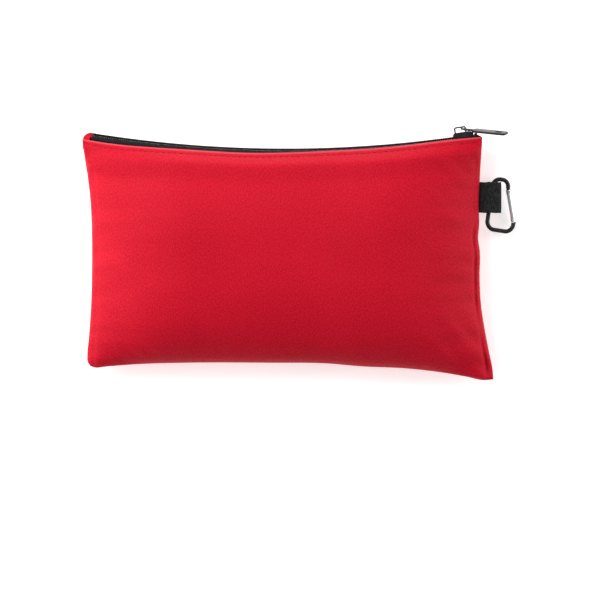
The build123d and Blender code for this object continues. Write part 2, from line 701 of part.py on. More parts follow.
def scissors_handle(height, way, blade):
    """A handle ring with a shank moulded round the blade's tang."""
    with BuildPart() as made:
        with BuildSketch(Plane.XY.offset(height)):
            with Locations((SCISSORS_AT[0] + RING_AT[0], SCISSORS_AT[1] + way * RING_AT[1])):
                Circle(RING_RADIUS)
            with BuildLine():
                Polyline(
                    *[
                        (SCISSORS_AT[0] + x, SCISSORS_AT[1] + way * y)
                        for x, y in ((-14, 0.2), (-30, 2.0), (-30, 12), (-14, 6.2))
                    ],
                    close=True,
                )
            make_face()
            with Locations((SCISSORS_AT[0] + RING_AT[0], SCISSORS_AT[1] + way * RING_AT[1])):
                Circle(RING_RADIUS - RING_WALL, mode=Mode.SUBTRACT)
        extrude(amount=HANDLE)
        add(blade, mode=Mode.SUBTRACT)
    return made.part


with BuildPart() as scissors_blade_a:
    add(scissors_blade(blade_a_z, -1))
finish(scissors_blade_a.part, "scissors_blade_a")

with BuildPart() as scissors_blade_b:
    add(scissors_blade(blade_b_z, 1))
finish(scissors_blade_b.part, "scissors_blade_b")

with BuildPart() as scissors_handle_a:
    add(scissors_handle(blade_a_z - 0.9, -1, scissors_blade_a.part))
finish(scissors_handle_a.part, "scissors_handle_a")

with BuildPart() as scissors_handle_b:
    add(scissors_handle(blade_b_z - 0.9, 1, scissors_blade_b.part))
finish(scissors_handle_b.part, "scissors_handle_b")

with BuildPart() as scissors_rivet:
    with BuildSketch(Plane.XY.offset(blade_a_z - 0.7)):
        with Locations(SCISSORS_AT):
            Circle(2.4)
    extrude(amount=0.7)
    with BuildSketch(Plane.XY.offset(blade_a_z)):
        with Locations(SCISSORS_AT):
            Circle(1.5)
    extrude(amount=2 * BLADE + 0.2)
    with BuildSketch(Plane.XY.offset(blade_b_z + BLADE + 0.1)):
        with Locations(SCISSORS_AT):
            Circle(2.4)
    extrude(amount=0.7)
finish(scissors_rivet.part, "scissors_rivet")
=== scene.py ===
import math

import bmesh
import bpy
import numpy as np
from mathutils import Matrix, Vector, noise


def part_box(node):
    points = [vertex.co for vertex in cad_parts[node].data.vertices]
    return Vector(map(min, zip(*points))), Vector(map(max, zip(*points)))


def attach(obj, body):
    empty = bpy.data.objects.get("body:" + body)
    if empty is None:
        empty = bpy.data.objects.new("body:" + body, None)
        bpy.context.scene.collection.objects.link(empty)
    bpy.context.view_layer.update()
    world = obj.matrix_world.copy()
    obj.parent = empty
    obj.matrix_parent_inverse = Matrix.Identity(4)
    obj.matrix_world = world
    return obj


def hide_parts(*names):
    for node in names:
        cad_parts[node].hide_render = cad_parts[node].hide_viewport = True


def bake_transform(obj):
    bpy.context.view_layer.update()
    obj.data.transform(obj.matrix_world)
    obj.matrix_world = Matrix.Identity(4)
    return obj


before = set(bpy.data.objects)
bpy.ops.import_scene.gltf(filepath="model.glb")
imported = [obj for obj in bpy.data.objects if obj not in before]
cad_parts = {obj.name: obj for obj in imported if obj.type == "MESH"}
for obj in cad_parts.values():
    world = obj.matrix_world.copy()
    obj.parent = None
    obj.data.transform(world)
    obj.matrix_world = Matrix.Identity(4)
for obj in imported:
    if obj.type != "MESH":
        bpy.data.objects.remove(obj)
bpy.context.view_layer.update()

# Millimetres throughout, turned into metres where a mesh is made.
MM = 0.001
RIM = 12.0  # height of the side seams, the bottom fold and the middle of the zip
ZIP_RADIUS = 730.0  # the zip is an arc of a circle in plan, so that the slider can travel along it
ZIP_CENTRE_Y = 796.6
ZIP_FROM = -116.6
ZIP_TO = 114.0
OPENS_FROM = -102.5  # the stretch of the mouth that opens
OPENS_TO = 99.5
EDGE_RISE = 6.2  # how far the folded edge of either panel stands off the rim
EDGE_REACH = 20.0  # from the folded edge to where the panel has its own shape
HEM_RADIUS = 0.8  # of the fold along the zip
STITCH_DEPTH = 2.1  # from the folded edge to the topstitching
FRONT_HIGH = 25.0  # rise of the front panel above the rim
BACK_DEEP = 11.6  # depth of the back panel below it
CLOTH = 0.7  # thickness of the cloth
POUCH_WIDE = 236.0  # the outline's usual size, for distances from its edges
POUCH_HIGH = 128.0
CLOTH_RUN = 1.25  # length of cloth for each millimetre of the outline's height
COLUMNS = 261  # points of a panel from left to right
ROWS = 161  # and from the fold to the zip

# ---- camera, straight above the pouch ----
VIEW_WIDE = 360.0
VIEW_HEIGHT = 1500.0
VIEW_CENTRE = (8.4, -24.6)
SENSOR = 36.0
camera_data = bpy.data.cameras.new("camera")
camera_data.sensor_width = SENSOR
camera_data.lens = SENSOR * VIEW_HEIGHT / VIEW_WIDE
camera_data.clip_end = 10.0
camera = bpy.data.objects.new("camera", camera_data)
camera.location = (VIEW_CENTRE[0] * MM, VIEW_CENTRE[1] * MM, (RIM + VIEW_HEIGHT) * MM)
bpy.context.scene.collection.objects.link(camera)
bpy.context.scene.camera = camera
bpy.context.scene.view_settings.view_transform = "Standard"


# ---- meshes ----
def make_object(name, verts, faces, uvs=None):
    """A smooth mesh object from points in millimetres, with an optional UV for each point."""
    mesh = bpy.data.meshes.new(name)
    mesh.from_pydata([tuple(c * MM for c in v) for v in verts], [], faces)
    mesh.update()
    if uvs is not None:
        layer = mesh.uv_layers.new(name="UVMap")
        for loop in mesh.loops:
            layer.data[loop.index].uv = uvs[loop.vertex_index]
    mesh.polygons.foreach_set("use_smooth", [True] * len(mesh.polygons))
    made = bpy.data.objects.new(name, mesh)
    bpy.context.scene.collection.objects.link(made)
    return made


def grid_faces(rows, columns, wrap=False):
    """Faces of a grid of points that is stored row by row."""
    faces = []
    for i in range(rows - 1):
        low, high = i * columns, (i + 1) * columns
        for j in range(columns if wrap else columns - 1):
            k = (j + 1) % columns
            faces.append((low + j, low + k, high + k, high + j))
    return faces


def tube_faces(rings, sides, base=0):
    """Faces of a tube whose rings of points are stored one by one, with a cap at each end."""
    faces = [tuple(base + index for index in face) for face in grid_faces(rings, sides, True)]
    faces.append(tuple(base + n for n in reversed(range(sides))))
    faces.append(tuple(base + (rings - 1) * sides + n for n in range(sides)))
    return faces


def face_outwards(piece):
    """Turn the faces of closed forms outwards."""
    work = bmesh.new()
    work.from_mesh(piece.data)
    bmesh.ops.recalc_face_normals(work, faces=work.faces)
    work.to_mesh(piece.data)
    work.free()


def apply_modifiers(piece):
    """Replace a piece's mesh by what its modifiers make of it."""
    graph = bpy.context.evaluated_depsgraph_get()
    mesh = bpy.data.meshes.new_from_object(piece.evaluated_get(graph))
    piece.modifiers.clear()
    piece.data = mesh


def thicken(piece, thickness):
    """Give a sheet its thickness, behind its face."""
    solid = piece.modifiers.new("thickness", "SOLIDIFY")
    solid.thickness = thickness * MM
    solid.offset = -1.0
    apply_modifiers(piece)


def curve_through(points):
    """A smooth line through points: a function of 0 to 1 that gives an array of places."""
    points = np.array(points, float)
    steps = np.linalg.norm(np.diff(points, axis=0), axis=1)
    at = np.concatenate(([0.0], np.cumsum(steps))) / steps.sum()
    slopes = np.gradient(points, at, axis=0)

    def place(t):
        t = np.clip(np.asarray(t, float), 0.0, 1.0)
        i = np.clip(np.searchsorted(at, t, side="right") - 1, 0, len(at) - 2)
        span = at[i + 1] - at[i]
        u = ((t - at[i]) / span)[..., None]
        span = span[..., None]
        return (
            (2 * u**3 - 3 * u**2 + 1) * points[i]
            + (u**3 - 2 * u**2 + u) * span * slopes[i]
            + (3 * u**2 - 2 * u**3) * points[i + 1]
            + (u**3 - u**2) * span * slopes[i + 1]
        )

    return place


def smoothstep(low, high, value):
    """0 below low, 1 above high, smooth between."""
    u = np.clip((value - low) / (high - low), 0.0, 1.0)
    return u * u * (3 - 2 * u)


def wobble(x, y, size, seed):
    """Smooth noise between about -1 and 1 over arrays of places, with features of about that size."""
    values = np.empty(x.shape)
    for index in np.ndindex(x.shape):
        values[index] = noise.noise(Vector((x[index] / size, y[index] / size, seed)))
    return values


def zip_point(x, out=0.0):
    """The place on the zip's arc at x, moved outwards from the coil's face."""
    angle = math.asin(x / ZIP_RADIUS)
    radius = ZIP_RADIUS - out
    return radius * math.sin(angle), ZIP_CENTRE_Y - radius * math.cos(angle)


# ---- materials ----
def new_material(name, colour, roughness, metallic=0.0):
    """A material with a Principled shader; returns it with its nodes, links and shader."""
    material = bpy.data.materials.new(name)
    material.use_nodes = True
    nodes = material.node_tree.nodes
    shader = nodes["Principled BSDF"]
    shader.inputs["Base Color"].default_value = (*colour, 1.0)
    shader.inputs["Roughness"].default_value = roughness
    shader.inputs["Metallic"].default_value = metallic
    return material, nodes, material.node_tree.links, shader


def coordinates(nodes, links, kind, scale):
    """Texture coordinates times a scale for each axis."""
    source = nodes.new("ShaderNodeTexCoord")
    mapping = nodes.new("ShaderNodeMapping")
    mapping.inputs["Scale"].default_value = scale
    links.new(source.outputs[kind], mapping.inputs["Vector"])
    return mapping.outputs["Vector"]


def maths(nodes, links, operation, first, second):
    """One Math node; each input is a socket or a number."""
    node = nodes.new("ShaderNodeMath")
    node.operation = operation
    for socket, value in zip(node.inputs, (first, second)):
        if isinstance(value, (int, float)):
            socket.default_value = value
        else:
            links.new(value, socket)
    return node.outputs[0]


WAVE_SCALE = 0.314159  # of a wave texture with one ridge in each metre


def bands(nodes, links, vector, axis, pitch):
    """Soft ridges across one axis, one for each pitch in metres."""
    wave = nodes.new("ShaderNodeTexWave")
    wave.wave_type = "BANDS"
    wave.bands_direction = axis
    wave.wave_profile = "SIN"
    wave.inputs["Scale"].default_value = WAVE_SCALE / pitch
    links.new(vector, wave.inputs["Vector"])
    return wave.outputs["Fac"]


def noise_of(nodes, links, vector, scale, detail=3.0):
    """A noise texture's value."""
    texture = nodes.new("ShaderNodeTexNoise")
    texture.inputs["Scale"].default_value = scale
    texture.inputs["Detail"].default_value = detail
    links.new(vector, texture.inputs["Vector"])
    return texture.outputs["Fac"]


def tint(nodes, links, shader, fac, dark, light):
    """Base colour between two colours by a value."""
    ramp = nodes.new("ShaderNodeValToRGB")
    ramp.color_ramp.elements[0].color = (*dark, 1.0)
    ramp.color_ramp.elements[0].position = 0.3
    ramp.color_ramp.elements[1].color = (*light, 1.0)
    ramp.color_ramp.elements[1].position = 0.7
    links.new(fac, ramp.inputs["Fac"])
    links.new(ramp.outputs["Color"], shader.inputs["Base Color"])


def bump(nodes, links, shader, height, strength, distance):
    """Bump from a height; distance is in metres."""
    node = nodes.new("ShaderNodeBump")
    node.inputs["Strength"].default_value = strength
    node.inputs["Distance"].default_value = distance
    links.new(height, node.inputs["Height"])
    links.new(node.outputs["Normal"], shader.inputs["Normal"])


TWILL_ANGLE = math.radians(52)
TWILL_STRETCH = 0.45  # the grain is this much coarser across the twill


def woven(name, dark, light, pitch, strength, roughness=0.7, sheen=0.3, kind="UV", specular=0.25):
    """Woven cloth: warp and weft ridges over each other, a fine twill grain and a soft sheen."""
    material, nodes, links, shader = new_material(name, light, roughness)
    vector = coordinates(nodes, links, kind, (1, 1, 1))
    warp = bands(nodes, links, vector, "X", pitch)
    weft = bands(nodes, links, vector, "Y", pitch)
    weave = maths(nodes, links, "MAXIMUM", warp, weft)
    turned = nodes.new("ShaderNodeMapping")
    turned.inputs["Rotation"].default_value = (0, 0, TWILL_ANGLE)
    turned.inputs["Scale"].default_value = (1.0, TWILL_STRETCH, 1.0)
    links.new(vector, turned.inputs["Vector"])
    grain = noise_of(nodes, links, turned.outputs["Vector"], 1.1 / pitch, 1.0)
    cloud = noise_of(nodes, links, vector, 18.0)
    shade = maths(nodes, links, "MULTIPLY", maths(nodes, links, "SUBTRACT", grain, 0.14), 1.05)
    shade = maths(nodes, links, "ADD", shade, maths(nodes, links, "MULTIPLY", cloud, 0.2))
    shade = maths(nodes, links, "ADD", shade, maths(nodes, links, "MULTIPLY", weave, 0.05))
    tint(nodes, links, shader, shade, dark, light)
    height = maths(nodes, links, "ADD", weave, maths(nodes, links, "MULTIPLY", grain, 1.2))
    bump(nodes, links, shader, height, strength, 0.00012)
    shader.inputs["Specular IOR Level"].default_value = specular
    shader.inputs["Sheen Weight"].default_value = sheen
    shader.inputs["Sheen Roughness"].default_value = 0.45
    shader.inputs["Sheen Tint"].default_value = (*[min(1.0, c * 1.3 + 0.05) for c in light], 1.0)
    return material


FOLD_HIGHLIGHT_FADE = 0.0008  # metres over which the painted highlight along the fold fades in
FOLD_HIGHLIGHT_SHARE = 0.3  # how strongly the painted highlight's pale colour shows


def painted_fold_highlight(material, colour, start):
    """Painted highlight where the hem turns over: the cloth's colour is mixed towards a paler one past start
    along the cloth's length, in metres.
    """
    nodes, links = material.node_tree.nodes, material.node_tree.links
    along = nodes.new("ShaderNodeSeparateXYZ")
    links.new(nodes.new("ShaderNodeTexCoord").outputs["UV"], along.inputs["Vector"])
    ramp = nodes.new("ShaderNodeMapRange")
    ramp.inputs["From Min"].default_value = start
    ramp.inputs["From Max"].default_value = start + FOLD_HIGHLIGHT_FADE
    ramp.inputs["To Max"].default_value = FOLD_HIGHLIGHT_SHARE
    links.new(along.outputs["Y"], ramp.inputs["Value"])
    mix = nodes.new("ShaderNodeMix")
    mix.data_type = "RGBA"
    links.new(ramp.outputs["Result"], mix.inputs["Factor"])
    links.new(nodes["Color Ramp"].outputs["Color"], mix.inputs["A"])
    mix.inputs["B"].default_value = (*colour, 1.0)
    links.new(mix.outputs["Result"], nodes["Principled BSDF"].inputs["Base Color"])


def coated(name, dark, light, roughness, metallic=0.0, grain=900.0, strength=0.15):
    """Paint, moulded plastic or metal with a fine grain and a little variation."""
    material, nodes, links, shader = new_material(name, light, roughness, metallic)
    vector = coordinates(nodes, links, "Object", (1, 1, 1))
    tint(nodes, links, shader, noise_of(nodes, links, vector, 180.0), dark, light)
    bump(nodes, links, shader, noise_of(nodes, links, vector, grain), strength, 0.00005)
    shader.inputs["Specular IOR Level"].default_value = 0.3
    return material


def brushed(name, dark, light, roughness=0.3):
    """Metal brushed along Y."""
    material, nodes, links, shader = new_material(name, light, roughness, 1.0)
    lines = noise_of(nodes, links, coordinates(nodes, links, "Object", (3000, 90, 3000)), 1.0)
    tint(nodes, links, shader, lines, dark, light)
    bump(nodes, links, shader, lines, 0.12, 0.00003)
    return material


def crinkled(name, dark, light, roughness, metallic, scale, strength):
    """Film or foil with creases."""
    material, nodes, links, shader = new_material(name, light, roughness, metallic)
    vector = coordinates(nodes, links, "Object", (1, 1, 1))
    cells = nodes.new("ShaderNodeTexVoronoi")
    cells.feature = "DISTANCE_TO_EDGE"
    cells.inputs["Scale"].default_value = scale
    links.new(vector, cells.inputs["Vector"])
    fine = noise_of(nodes, links, vector, scale * 3)
    creases = maths(nodes, links, "MULTIPLY", fine, 0.4)
    height = maths(nodes, links, "ADD", cells.outputs["Distance"], creases)
    tint(nodes, links, shader, fine, dark, light)
    bump(nodes, links, shader, height, strength, 0.0012)
    return material


RED_DARK = (0.40, 0.0015, 0.011)
RED_LIGHT = (0.61, 0.0045, 0.024)
# Painted highlight along the hem's fold: a pale pink that stands for light catching the turned edge.
FOLD_HIGHLIGHT_COLOUR = (0.95, 0.2, 0.25)
FOLD_HIGHLIGHT_START = 0.1594  # where the painted highlight starts, along the cloth from its bottom fold
red_cloth = woven("red_cloth", RED_DARK, RED_LIGHT, 0.0007, 0.5, 0.6, 0.08, "UV", 0.1)
# Paint a highlight onto the red cloth along the fold of its hem.
painted_fold_highlight(red_cloth, FOLD_HIGHLIGHT_COLOUR, FOLD_HIGHLIGHT_START)
red_cloth_plain = woven("red_cloth_plain", RED_DARK, RED_LIGHT, 0.0007, 0.5, 0.6, 0.08, "Object", 0.1)
binding_cloth = woven(
    "binding_cloth", (0.3, 0.004, 0.015), (0.45, 0.009, 0.03), 0.0009, 0.6, 0.7, 0.2, "Object"
)
red_thread = coated("red_thread", (0.22, 0.002, 0.008), (0.36, 0.005, 0.018), 0.6, 0.0, 2500.0, 0.4)
black_tape = woven(
    "black_tape", (0.004, 0.004, 0.005), (0.020, 0.020, 0.021), 0.0006, 1.0, 0.75, 0.06, "Object", 0.15
)
black_coil = coated("black_coil", (0.012, 0.012, 0.013), (0.035, 0.035, 0.037), 0.38)
black_webbing = woven(
    "black_webbing", (0.003, 0.003, 0.004), (0.022, 0.022, 0.023), 0.0011, 0.8, 0.8, 0.1, "Object", 0.2
)
black_paint = coated("black_paint", (0.010, 0.010, 0.011), (0.030, 0.030, 0.032), 0.32, 0.35)
black_anodised = coated(
    "black_anodised", (0.012, 0.012, 0.013), (0.03, 0.03, 0.032), 0.34, 0.6, 1500.0, 0.2
)
gate_metal = brushed("gate_metal", (0.5, 0.5, 0.52), (0.8, 0.8, 0.82), 0.42)
tool_steel = brushed("tool_steel", (0.42, 0.42, 0.44), (0.72, 0.72, 0.74), 0.25)
foil = crinkled("foil", (0.62, 0.63, 0.66), (0.9, 0.9, 0.92), 0.18, 1.0, 70.0, 0.7)
clear_wrap = crinkled("clear_wrap", (0.72, 0.76, 0.8), (0.9, 0.92, 0.94), 0.25, 0.0, 50.0, 0.5)
blue_wrap = crinkled("blue_wrap", (0.12, 0.28, 0.5), (0.2, 0.42, 0.68), 0.3, 0.0, 60.0, 0.5)
sachet_paper = crinkled("sachet_paper", (0.78, 0.78, 0.75), (0.92, 0.92, 0.9), 0.55, 0.0, 90.0, 0.25)
green_paper = crinkled("green_paper", (0.1, 0.36, 0.2), (0.16, 0.5, 0.3), 0.5, 0.0, 90.0, 0.2)
plaster_cloth = woven(
    "plaster_cloth", (0.55, 0.34, 0.22), (0.72, 0.48, 0.33), 0.0012, 0.5, 0.75, 0.1, "Object"
)
gauze_cloth = woven("gauze_cloth", (0.7, 0.7, 0.66), (0.9, 0.9, 0.87), 0.0015, 0.9, 0.85, 0.2, "Object")
card = coated("card", (0.4, 0.28, 0.16), (0.55, 0.4, 0.25), 0.8, 0.0, 400.0, 0.5)
white_laminate = coated("white_laminate", (0.78, 0.79, 0.8), (0.9, 0.91, 0.92), 0.35)
blue_plastic = coated("blue_plastic", (0.03, 0.14, 0.36), (0.05, 0.2, 0.46), 0.4)
handle_plastic = coated("handle_plastic", (0.015, 0.015, 0.018), (0.04, 0.04, 0.045), 0.45)


def dress(piece, material):
    """Give a piece one material."""
    piece.data.materials.clear()
    piece.data.materials.append(material)


# ---- the pouch's outline, seen from above ----
def hem_depth(x):
    """How far the folded red edge lies inside the coil's face: less of the zip shows in the middle."""
    places = (-122, -110, -85, -40, 10, 40, 60, 85, 104, 117)
    depths = (4.6, 4.8, 4.1, 3.3, 2.8, 2.5, 2.2, 2.3, 2.7, 3.4)
    return np.interp(x, places, depths)


TOP_FROM = -121.6
TOP_LONG = 238.9


def top_edge(s):
    """The folded red edge under the zip, from left to right, with a slight wave."""
    x = TOP_FROM + TOP_LONG * np.asarray(s, float)
    y = ZIP_CENTRE_Y - hem_depth(x) - HEM_RADIUS - np.sqrt(ZIP_RADIUS**2 - x**2)
    wave = 0.25 * np.sin(x / 13.0) * smoothstep(118, 90, np.abs(x))
    return np.stack([x, y + wave], axis=-1)


left_edge = curve_through(
    [
        (-117.4, -64.3), (-118.9, -62.0), (-119.2, -57), (-118.4, -48), (-117.0, -28), (-116.5, -8),
        (-116.5, 14), (-117.3, 34), (-119.3, 52), (-121.6, 70.9),
    ]
)
right_edge = curve_through(
    [
        (124.4, -72.2), (123.9, -66), (121.9, -56), (119.4, -43), (117.1, -28), (116.2, -10),
        (116.4, 4), (115.3, 13), (115.9, 20), (115.6, 34), (116.4, 50), (117.3, 72.3),
    ]
)
bottom_edge = curve_through(
    [
        (-117.4, -64.3), (-114.6, -65.2), (-108, -64.6), (-90, -63.2), (-60, -62.3), (-10, -62.3),
        (24, -62.7), (46, -64.5), (72, -65.7), (92, -67.9), (108, -70.6), (119, -72.7), (124.4, -72.2),
    ]
)


def patch(s, t):
    """A place inside the outline for s from left to right and t from the fold to the zip."""
    left, right, low, high = left_edge(t), right_edge(t), bottom_edge(s), top_edge(s)
    s, t = s[..., None], t[..., None]
    flat = (1 - s) * (1 - t) * left_edge(np.array(0.0)) + s * (1 - t) * right_edge(np.array(0.0))
    flat = flat + (1 - s) * t * top_edge(0.0) + s * t * top_edge(1.0)
    return (1 - t) * low + t * high + (1 - s) * left + s * right - flat


def quarter_round(distance, reach):
    """A quarter of a circle's rise: steep at the edge, level at reach."""
    u = np.clip(distance / reach, 0.0, 1.0)
    return np.sqrt(1 - (1 - u) ** 2)


def pinched(distance, reach, power):
    """The rise from a sewn seam, which holds two panels together in a sharp angle."""
    return np.sin(0.5 * np.pi * np.clip(distance / reach, 0.0, 1.0)) ** power


def panel_shares():
    """Shares across and along a panel for its points, which are closer together at its edges."""
    j = np.linspace(0, 1, COLUMNS)
    i = np.linspace(0, 1, ROWS)
    s = 0.75 * j + 0.25 * 0.5 * (1 - np.cos(np.pi * j))
    t = 0.35 * i + 0.65 * 0.5 * (1 - np.cos(np.pi * i))
    return np.meshgrid(s, t)


def dome(way, from_left, from_right, from_fold, from_zip):
    """How far a panel stands off the rim, pinched at the sewn sides and round at the fold."""
    if way > 0:
        rise = pinched(from_left, 62, 0.62) * pinched(from_right, 66, 0.62)
        rise *= quarter_round(from_fold, 52) * quarter_round(from_zip, 56)
        height = FRONT_HIGH * rise
    else:
        rise = pinched(from_left, 34, 0.6) * pinched(from_right, 34, 0.6)
        rise *= quarter_round(from_fold, 26) * quarter_round(from_zip, 28)
        height = BACK_DEEP * rise
    # Near the zip the cloth starts level from its folded edge and then climbs.
    near_zip = smoothstep(EDGE_REACH, 0, from_zip)
    levelled = 1 - 0.55 * near_zip * smoothstep(9, 0, from_zip)
    return np.maximum(height, 0) * levelled + EDGE_RISE * near_zip


def creases(way, x, y, from_left, from_right, from_fold, from_zip):
    """What the sewing and the slack of the cloth add to a panel's height."""
    side = np.minimum(from_left, from_right)
    off_zip = 1 - smoothstep(EDGE_REACH, 0, from_zip)
    # Puckers run in from the sewn edges and die out.
    fade = np.exp(-side / 17) * smoothstep(0, 3.0, side)
    height = 1.9 * fade * wobble(x * 0.22, y, 8.5, 3.1 + way)
    fade = np.exp(-from_zip / 9) * smoothstep(1, 5.0, from_zip)
    height += 0.5 * fade * wobble(x, y * 0.25, 7.0, 9.7 + way)
    fade = np.exp(-from_fold / 13) * smoothstep(0, 4.0, from_fold)
    height += 0.8 * fade * wobble(x, y * 0.3, 13.0, 5.2 + way)
    # Diagonal drag lines at the corners, and the slow waves of slack cloth.
    fade = np.exp(-(side + np.minimum(from_fold, from_zip)) / 34) * smoothstep(0, 6.0, side) * off_zip
    height += 2.4 * fade * wobble(x + y, (x - y) * 0.2, 10.0, 1.7)
    fade = smoothstep(0, 30, side) * smoothstep(0, 24, from_fold)
    height += 1.1 * fade * wobble(x, y, 42.0, 6.4 + way)
    # The seam allowance inside makes a ridge along each side, with a groove behind it.
    pleat = smoothstep(24, 12, y) * smoothstep(-38, -22, y) + smoothstep(-46, -54, y)
    groove = (1 + 2.2 * pleat) * np.exp(-(((from_right - 3.4) / 0.9) ** 2))
    groove += 0.5 * np.exp(-(((from_left - 4.0) / 1.2) ** 2))
    height -= 0.5 * groove * smoothstep(0, 6, from_fold) * off_zip
    # Topstitching pulls a furrow into the cloth along the zip.
    height -= 0.35 * np.exp(-(((from_zip - STITCH_DEPTH) / 0.8) ** 2))
    return height * smoothstep(0, 1.6, from_fold)


def hem_rows(edge, way):
    """The hem's rows of points: the cloth rolls over at the zip and runs back inside."""
    turns = [math.radians(angle) for angle in (25, 50, 75, 100, 125, 150, 180)]
    places = [(HEM_RADIUS * math.sin(a), HEM_RADIUS * (1 - math.cos(a))) for a in turns]
    places += [(-2.5, 1.7), (-5.0, 1.9)]
    rows = np.array([[point + (0, ahead, -way * down) for point in edge] for ahead, down in places])
    if way < 0:
        rows[-2:, :, 2] = np.maximum(rows[-2:, :, 2], 0.4)
    return rows


def panel_grid(way):
    """Points of the front (way 1) or back (way -1) panel, with UVs in metres."""
    s, t = panel_shares()
    xy = patch(s, t)
    x, y = xy[..., 0], xy[..., 1]
    distances = (s * POUCH_WIDE, (1 - s) * POUCH_WIDE, t * POUCH_HIGH, (1 - t) * POUCH_HIGH)
    height = dome(way, *distances) + creases(way, x, y, *distances)
    z = np.maximum(RIM + way * np.maximum(height, 0.0), CLOTH * 0.5)
    points = np.stack([x, y, z], axis=-1)
    hem = hem_rows(points[-1], way)
    u = np.concatenate([s, s[: len(hem)]]) * POUCH_WIDE
    v = t * CLOTH_RUN * POUCH_HIGH
    hem_v = v[-1] + np.arange(1, len(hem) + 1)[:, None] * 0.5
    uvs = np.stack([u, np.concatenate([v, hem_v])], axis=-1) * MM
    return np.concatenate([points, hem]), uvs


def panel_mesh(name, points, uvs, way):
    """One panel as a sheet with thickness."""
    faces = grid_faces(points.shape[0], COLUMNS)
    if way < 0:
        faces = [face[::-1] for face in faces]
    piece = make_object(name, points.reshape(-1, 3), faces, uvs.reshape(-1, 2))
    thicken(piece, CLOTH)
    dress(piece, red_cloth)
    return piece


def side_of(piece, name, way):
    """A copy of what lies left (-1) or right (1) of the middle, shaded as part of the whole."""
    half = piece.copy()
    half.data = piece.data.copy()
    half.name = name
    bpy.context.scene.collection.objects.link(half)
    normals = {tuple(round(c, 7) for c in v.co): v.normal.copy() for v in piece.data.vertices}
    work = bmesh.new()
    work.from_mesh(half.data)
    wrong = [f for f in work.faces if way * f.calc_center_median().x <= 0]
    bmesh.ops.delete(work, geom=wrong, context="FACES")
    bmesh.ops.holes_fill(work, edges=[e for e in work.edges if e.is_boundary], sides=0)
    work.to_mesh(half.data)
    work.free()
    kept = [normals[tuple(round(c, 7) for c in v.co)] for v in half.data.vertices]
    half.data.normals_split_custom_set_from_vertices(kept)
    return half


def open_with_mouth(piece, name, slot, *nodes):
    """Split a piece of the front at the middle into a left and a right half, each shaded as part of the
    whole, and hide the CAD nodes it stands for.
    """
    work = bmesh.new()
    work.from_mesh(piece.data)
    everything = work.verts[:] + work.edges[:] + work.faces[:]
    bmesh.ops.bisect_plane(work, geom=everything, dist=1e-7, plane_co=(0, 0, 0), plane_no=(1, 0, 0))
    work.to_mesh(piece.data)
    work.free()
    halves = []
    for side, way, start in (("left", -1, OPENS_FROM), ("right", 1, OPENS_TO)):
        half = side_of(piece, f"{name}_{side}", way)
        if nodes:
            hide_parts(*nodes)
        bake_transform(half)
        halves.append(half)
    bpy.data.objects.remove(piece)
    return halves


front_points, front_uvs = panel_grid(1)
back_points, back_uvs = panel_grid(-1)
front = panel_mesh("front_cloth", front_points, front_uvs, 1)
back = panel_mesh("back_cloth", back_points, back_uvs, -1)
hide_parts("back_panel")
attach(back, "root")

TUCK_LEAST = 0.25  # how far a tuck lies inside the sides of the panels
TUCK_SHARE = 0.16  # and how much further for each millimetre between them
TUCK_CLOTH = 0.5  # thickness


def side_fold(name, column, way):
    """The tuck that closes the side between the two panels beside the end of the zip."""
    upper, lower = front_points[:ROWS, column], back_points[:ROWS, column]
    gap = upper[:, 2] - lower[:, 2]
    first = max(int(np.argmax(gap > 0.5)) - 1, 0)
    across = np.linspace(0, 1, 9)
    verts = []
    for high, low in zip(upper[first:], lower[first:]):
        tuck = TUCK_SHARE * (high[2] - low[2])
        for share in across:
            place = high + (low - high) * share
            inward = TUCK_LEAST + tuck * math.sin(math.pi * share)
            verts.append((place[0] - way * inward, place[1], place[2]))
    rows = len(verts) // len(across)
    piece = make_object(name, verts, grid_faces(rows, len(across)))
    thicken(piece, TUCK_CLOTH)
    dress(piece, red_cloth_plain)
    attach(piece, "root")


side_fold("side_fold_left", 0, -1)
side_fold("side_fold_right", COLUMNS - 1, 1)


# ---- stitching ----
STITCH_LONG = 2.2
STITCH_GAP = 1.3
STITCH_RISE = 0.16  # of the middle of a stitch over its ends
STITCH_SUNK = 0.06  # depth of its ends in the cloth
THREAD = 0.3  # radius


def stitches(name, line, normals, length, gap, radius, material):
    """Thread stitches along a line of points: short rounded bars that dip at both ends."""
    line = np.array(line)
    steps = np.linalg.norm(np.diff(line, axis=0), axis=1)
    at = np.concatenate(([0.0], np.cumsum(steps)))
    verts, faces = [], []
    sides, rings = 6, 5
    for start in np.arange(gap, at[-1] - length - gap, length + gap):
        base = len(verts)
        for k in range(rings):
            share = k / (rings - 1)
            where = start + share * length
            place = np.array([np.interp(where, at, line[:, c]) for c in range(3)])
            normal = np.array([np.interp(where, at, normals[:, c]) for c in range(3)])
            ahead = np.array([np.interp(where + 0.4, at, line[:, c]) for c in range(3)]) - place
            ahead /= np.linalg.norm(ahead)
            normal /= np.linalg.norm(normal)
            across = np.cross(ahead, normal)
            lift = STITCH_RISE * math.sin(math.pi * share) - STITCH_SUNK
            thick = radius * (0.45 + 0.55 * math.sin(math.pi * share))
            for n in range(sides):
                angle = 2 * math.pi * n / sides
                up = lift + thick * math.sin(angle)
                verts.append(place + normal * up + across * thick * math.cos(angle))
        faces += tube_faces(rings, sides, base)
    piece = make_object(name, verts, faces)
    dress(piece, material)
    return piece


def grid_normals(points):
    """Upward unit normals of a grid of points."""
    along = np.gradient(points, axis=1)
    across = np.gradient(points, axis=0)
    normals = np.cross(along, across)
    return normals / np.linalg.norm(normals, axis=-1)[..., None]


front_normals = grid_normals(front_points)


def row_under_edge(depth):
    """The row of the front panel that lies about that far below its top edge in plan."""
    middle = front_points[:ROWS, COLUMNS // 2, 1]
    return int(np.argmin(np.abs(middle[-1] - middle - depth)))


